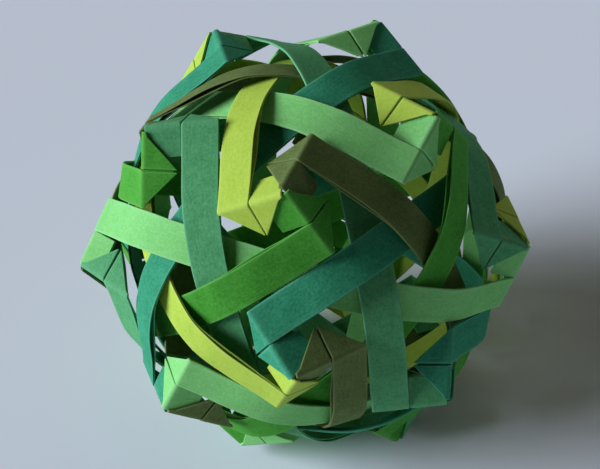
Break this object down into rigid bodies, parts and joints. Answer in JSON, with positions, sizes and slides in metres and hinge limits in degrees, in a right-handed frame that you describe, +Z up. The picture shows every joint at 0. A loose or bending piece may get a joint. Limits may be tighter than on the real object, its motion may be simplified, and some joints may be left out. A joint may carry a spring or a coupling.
{
  "type": "woven paper ball",
  "caption": "Hollow ball woven from folded paper strips in several greens; the strips pass over and under each other and their folded ends hook together at the corners.",
  "frame": {"origin": "middle of the ball's plan, at the level of the table it rests on", "axes": "+Z up through the middle of the top and bottom five-strip openings, -Y towards the viewer of the picture, +X to the viewer's right"},
  "size_m": [0.0964, 0.0964, 0.0845],
  "materials": {
    "lime_paper": "matt",
    "light_green_paper": "matt",
    "grass_green_paper": "matt",
    "sea_green_paper": "matt",
    "teal_paper": "matt",
    "olive_paper": "matt"
  },
  "bodies": {
    "root": {"lime_strip_1": "lime_paper", "lime_strip_2": "lime_paper", "lime_strip_3": "lime_paper", "lime_strip_4": "lime_paper", "lime_strip_5": "lime_paper", "light_green_strip_1": "light_green_paper", "light_green_strip_2": "light_green_paper", "light_green_strip_3": "light_green_paper", "light_green_strip_4": "light_green_paper", "light_green_strip_5": "light_green_paper", "grass_green_strip_1": "grass_green_paper", "grass_green_strip_2": "grass_green_paper", "grass_green_strip_3": "grass_green_paper", "grass_green_strip_4": "grass_green_paper", "grass_green_strip_5": "grass_green_paper", "sea_green_strip_1": "sea_green_paper", "sea_green_strip_2": "sea_green_paper", "sea_green_strip_3": "sea_green_paper", "sea_green_strip_4": "sea_green_paper", "sea_green_strip_5": "sea_green_paper", "teal_strip_1": "teal_paper", "teal_strip_2": "teal_paper", "teal_strip_3": "teal_paper", "teal_strip_4": "teal_paper", "teal_strip_5": "teal_paper", "olive_strip_1": "olive_paper", "olive_strip_2": "olive_paper", "olive_strip_3": "olive_paper", "olive_strip_4": "olive_paper", "olive_strip_5": "olive_paper"}
  },
  "joints": []
}
